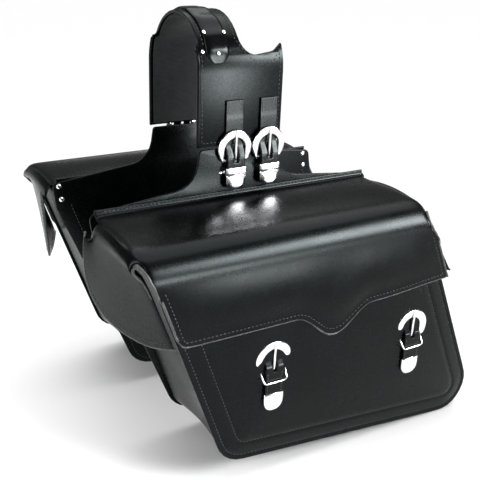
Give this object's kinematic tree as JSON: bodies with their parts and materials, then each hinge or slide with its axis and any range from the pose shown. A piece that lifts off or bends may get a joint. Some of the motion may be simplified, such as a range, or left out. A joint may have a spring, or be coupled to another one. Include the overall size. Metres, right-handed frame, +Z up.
{
  "type": "slant saddlebag pair",
  "caption": "Pair of slanted leather throw-over saddlebags on a felt-lined yoke, with lids, horseshoe buckles and straps.",
  "frame": {"origin": "underside of the yoke's felt lining at the middle of its crest, where the pair hangs on the fender", "axes": "+X towards the rear wheel, along the bags' lids; +Y from the near bag to the far bag; +Z up"},
  "size_m": [0.5259, 0.4378, 0.5599],
  "materials": {
    "leather": "semi-gloss black",
    "lining": "matte charcoal felt",
    "board": "matte",
    "hardware": "polished"
  },
  "bodies": {
    "yoke": {"yoke_leather": "leather", "yoke_felt": "lining", "near_yoke_front_patch": "leather", "near_yoke_rear_patch": "leather", "far_yoke_front_patch": "leather", "far_yoke_rear_patch": "leather"},
    "near_bag": {"near_back_panel": "leather", "near_gusset": "leather", "near_front_panel": "leather", "near_back_stiffener": "board", "near_yoke_front_billet": "leather", "near_yoke_front_tip": "hardware", "near_yoke_front_chape": "leather", "near_yoke_front_ring": "hardware", "near_yoke_front_keeper": "hardware", "near_yoke_rear_billet": "leather", "near_yoke_rear_tip": "hardware", "near_yoke_rear_chape": "leather", "near_yoke_rear_ring": "hardware", "near_yoke_rear_keeper": "hardware"},
    "near_lid": {"near_lid": "leather"},
    "near_bag_front_strap": {"near_bag_front_billet": "leather", "near_bag_front_tip": "hardware", "near_bag_front_chape": "leather", "near_bag_front_buckle": "hardware"},
    "near_bag_front_prong_body": {"near_bag_front_prong": "hardware"},
    "near_bag_rear_strap": {"near_bag_rear_billet": "leather", "near_bag_rear_tip": "hardware", "near_bag_rear_chape": "leather", "near_bag_rear_buckle": "hardware"},
    "near_bag_rear_prong_body": {"near_bag_rear_prong": "hardware"},
    "near_yoke_front_prong_body": {"near_yoke_front_prong": "hardware"},
    "near_yoke_rear_prong_body": {"near_yoke_rear_prong": "hardware"},
    "far_bag": {"far_back_panel": "leather", "far_gusset": "leather", "far_front_panel": "leather", "far_back_stiffener": "board", "far_yoke_front_billet": "leather", "far_yoke_front_tip": "hardware", "far_yoke_front_chape": "leather", "far_yoke_front_ring": "hardware", "far_yoke_front_keeper": "hardware", "far_yoke_rear_billet": "leather", "far_yoke_rear_tip": "hardware", "far_yoke_rear_chape": "leather", "far_yoke_rear_ring": "hardware", "far_yoke_rear_keeper": "hardware"},
    "far_lid": {"far_lid": "leather"},
    "far_bag_front_strap": {"far_bag_front_billet": "leather", "far_bag_front_tip": "hardware", "far_bag_front_chape": "leather", "far_bag_front_buckle": "hardware"},
    "far_bag_front_prong_body": {"far_bag_front_prong": "hardware"},
    "far_bag_rear_strap": {"far_bag_rear_billet": "leather", "far_bag_rear_tip": "hardware", "far_bag_rear_chape": "leather", "far_bag_rear_buckle": "hardware"},
    "far_bag_rear_prong_body": {"far_bag_rear_prong": "hardware"},
    "far_yoke_front_prong_body": {"far_yoke_front_prong": "hardware"},
    "far_yoke_rear_prong_body": {"far_yoke_rear_prong": "hardware"}
  },
  "joints": [
    {"name": "near_bag_swing", "type": "hinge", "parent": "yoke", "child": "near_bag", "pos_m": [0.002, -0.0715, -0.115], "axis": [-1, 0, 0], "range_deg": [0, 60]},
    {"name": "near_lid_hinge", "type": "hinge", "parent": "near_bag", "child": "near_lid", "pos_m": [0.0035, -0.0744, -0.22175], "axis": [-1, 0, 0], "range_deg": [0, 60]},
    {"name": "near_bag_front_strap_flex", "type": "hinge", "parent": "near_lid", "child": "near_bag_front_strap", "pos_m": [-0.026, -0.208, -0.338], "axis": [-1, 0, 0], "range_deg": [0, 50]},
    {"name": "near_bag_front_prong_pivot", "type": "hinge", "parent": "near_bag_front_strap", "child": "near_bag_front_prong_body", "pos_m": [-0.026, -0.2099, -0.396], "axis": [1, 0, 0], "range_deg": [0, 75]},
    {"name": "near_bag_rear_strap_flex", "type": "hinge", "parent": "near_lid", "child": "near_bag_rear_strap", "pos_m": [0.196, -0.208, -0.338], "axis": [-1, 0, 0], "range_deg": [0, 50]},
    {"name": "near_bag_rear_prong_pivot", "type": "hinge", "parent": "near_bag_rear_strap", "child": "near_bag_rear_prong_body", "pos_m": [0.196, -0.2099, -0.404], "axis": [1, 0, 0], "range_deg": [0, 75]},
    {"name": "near_yoke_front_prong_pivot", "type": "hinge", "parent": "near_bag", "child": "near_yoke_front_prong_body", "pos_m": [-0.008, -0.0734, -0.169], "axis": [1, 0, 0], "range_deg": [0, 60]},
    {"name": "near_yoke_rear_prong_pivot", "type": "hinge", "parent": "near_bag", "child": "near_yoke_rear_prong_body", "pos_m": [0.042, -0.0734, -0.169], "axis": [1, 0, 0], "range_deg": [0, 60]},
    {"name": "far_bag_swing", "type": "hinge", "parent": "yoke", "child": "far_bag", "pos_m": [0.002, 0.0715, -0.115], "axis": [1, 0, 0], "range_deg": [0, 60]},
    {"name": "far_lid_hinge", "type": "hinge", "parent": "far_bag", "child": "far_lid", "pos_m": [0.0035, 0.0744, -0.22175], "axis": [1, 0, 0], "range_deg": [0, 60]},
    {"name": "far_bag_front_strap_flex", "type": "hinge", "parent": "far_lid", "child": "far_bag_front_strap", "pos_m": [-0.026, 0.208, -0.338], "axis": [1, 0, 0], "range_deg": [0, 50]},
    {"name": "far_bag_front_prong_pivot", "type": "hinge", "parent": "far_bag_front_strap", "child": "far_bag_front_prong_body", "pos_m": [-0.026, 0.2099, -0.396], "axis": [-1, 0, 0], "range_deg": [0, 75]},
    {"name": "far_bag_rear_strap_flex", "type": "hinge", "parent": "far_lid", "child": "far_bag_rear_strap", "pos_m": [0.196, 0.208, -0.338], "axis": [1, 0, 0], "range_deg": [0, 50]},
    {"name": "far_bag_rear_prong_pivot", "type": "hinge", "parent": "far_bag_rear_strap", "child": "far_bag_rear_prong_body", "pos_m": [0.196, 0.2099, -0.404], "axis": [-1, 0, 0], "range_deg": [0, 75]},
    {"name": "far_yoke_front_prong_pivot", "type": "hinge", "parent": "far_bag", "child": "far_yoke_front_prong_body", "pos_m": [-0.008, 0.0734, -0.169], "axis": [-1, 0, 0], "range_deg": [0, 60]},
    {"name": "far_yoke_rear_prong_pivot", "type": "hinge", "parent": "far_bag", "child": "far_yoke_rear_prong_body", "pos_m": [0.042, 0.0734, -0.169], "axis": [-1, 0, 0], "range_deg": [0, 60]}
  ]
}
